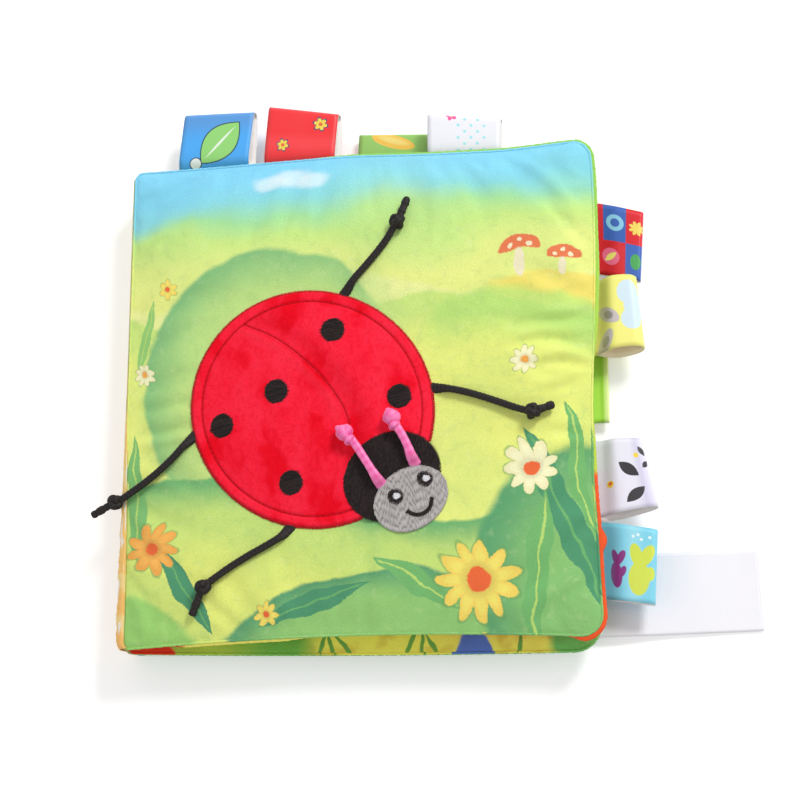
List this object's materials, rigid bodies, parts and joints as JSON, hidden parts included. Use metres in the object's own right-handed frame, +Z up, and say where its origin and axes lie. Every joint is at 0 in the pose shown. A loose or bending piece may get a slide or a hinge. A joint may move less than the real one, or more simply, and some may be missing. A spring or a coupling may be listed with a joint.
{
  "type": "cloth book",
  "caption": "Soft square cloth book with padded leaves that turn about a sewn spine, ribbon tags in its edges and a raised plush ladybird with cord legs on the cover.",
  "frame": {"origin": "middle of the flat face that the closed book rests on", "axes": "+Z up out of the cover, +X from the spine to the fore-edge, +Y towards the top edge"},
  "size_m": [0.2178, 0.1907, 0.0273],
  "materials": {
    "cover_print": "soft matt cotton, printed",
    "cover_lining": "soft matt cotton, printed",
    "middle_front_print": "soft matt cotton, printed",
    "middle_back_print": "soft matt cotton, printed",
    "back_inner_print": "soft matt cotton, printed",
    "back_outer_print": "soft matt cotton, printed",
    "spine_cloth": "soft matt cotton, printed",
    "padding": "loose white polyester wadding",
    "crinkle_film": "thin crisp film",
    "ribbon_blue": "satin ribbon, printed",
    "ribbon_red": "satin ribbon, printed",
    "ribbon_green": "satin ribbon, printed",
    "ribbon_white_dotted": "satin ribbon, dotted",
    "ribbon_checked": "woven ribbon, checked",
    "ribbon_yellow": "satin ribbon, printed",
    "ribbon_plain_green": "satin ribbon, plain",
    "ribbon_white_blotched": "satin ribbon, printed",
    "ribbon_light_blue": "satin ribbon, printed",
    "label_satin": "smooth white satin",
    "plush_red": "short-pile plush",
    "thread_red": "overlocked thread",
    "cloth_black": "short black nap",
    "thread_grey": "grey fill stitch",
    "thread_black": "black satin stitch",
    "cord_pink": "satin cord",
    "cord_black": "braided cord"
  },
  "bodies": {
    "middle_leaf": {"middle_leaf_front_cloth": "middle_front_print", "middle_leaf_back_cloth": "middle_back_print", "middle_leaf_padding": "padding", "middle_leaf_crinkle_film": "crinkle_film", "spine_binding": "spine_cloth", "tag_top_blue": "ribbon_blue", "tag_top_red": "ribbon_red", "tag_top_white": "ribbon_white_dotted", "tag_side_yellow": "ribbon_yellow", "tag_side_white": "ribbon_white_blotched", "tag_side_light_blue": "ribbon_light_blue"},
    "cover": {"cover_outer_cloth": "cover_print", "cover_inner_cloth": "cover_lining", "cover_padding": "padding", "cover_crinkle_film": "crinkle_film", "ladybird_pad": "padding", "ladybird_shell": "plush_red", "ladybird_edge_stitch": "thread_red", "ladybird_spot_1": "cloth_black", "ladybird_spot_2": "cloth_black", "ladybird_spot_3": "cloth_black", "ladybird_spot_4": "cloth_black", "ladybird_spot_5": "cloth_black", "ladybird_collar": "cloth_black", "ladybird_head": "thread_grey", "ladybird_eye_left": "thread_black", "ladybird_eye_right": "thread_black", "ladybird_smile": "thread_black", "antenna_left_cord": "cord_pink", "antenna_left_knot": "cord_pink", "antenna_right_cord": "cord_pink", "antenna_right_knot": "cord_pink", "leg_upper_cord": "cord_black", "leg_upper_knot": "cord_black", "leg_right_cord": "cord_black", "leg_right_knot": "cord_black", "leg_left_cord": "cord_black", "leg_left_knot": "cord_black", "leg_lower_cord": "cord_black", "leg_lower_knot": "cord_black"},
    "back_cover": {"back_cover_inner_cloth": "back_inner_print", "back_cover_outer_cloth": "back_outer_print", "back_cover_padding": "padding", "back_cover_crinkle_film": "crinkle_film", "tag_top_green": "ribbon_green", "tag_side_checked": "ribbon_checked", "tag_side_green": "ribbon_plain_green", "care_label": "label_satin"}
  },
  "joints": [
    {"name": "cover_hinge", "type": "hinge", "parent": "middle_leaf", "child": "cover", "pos_m": [-0.08, 0, 0.0168], "axis": [0, -1, 0], "range_deg": [0, 180], "deforming": ["leg_left_knot"]},
    {"name": "back_hinge", "type": "hinge", "parent": "middle_leaf", "child": "back_cover", "pos_m": [-0.08, 0, 0.0028], "axis": [0, 1, 0], "range_deg": [0, 180]}
  ]
}
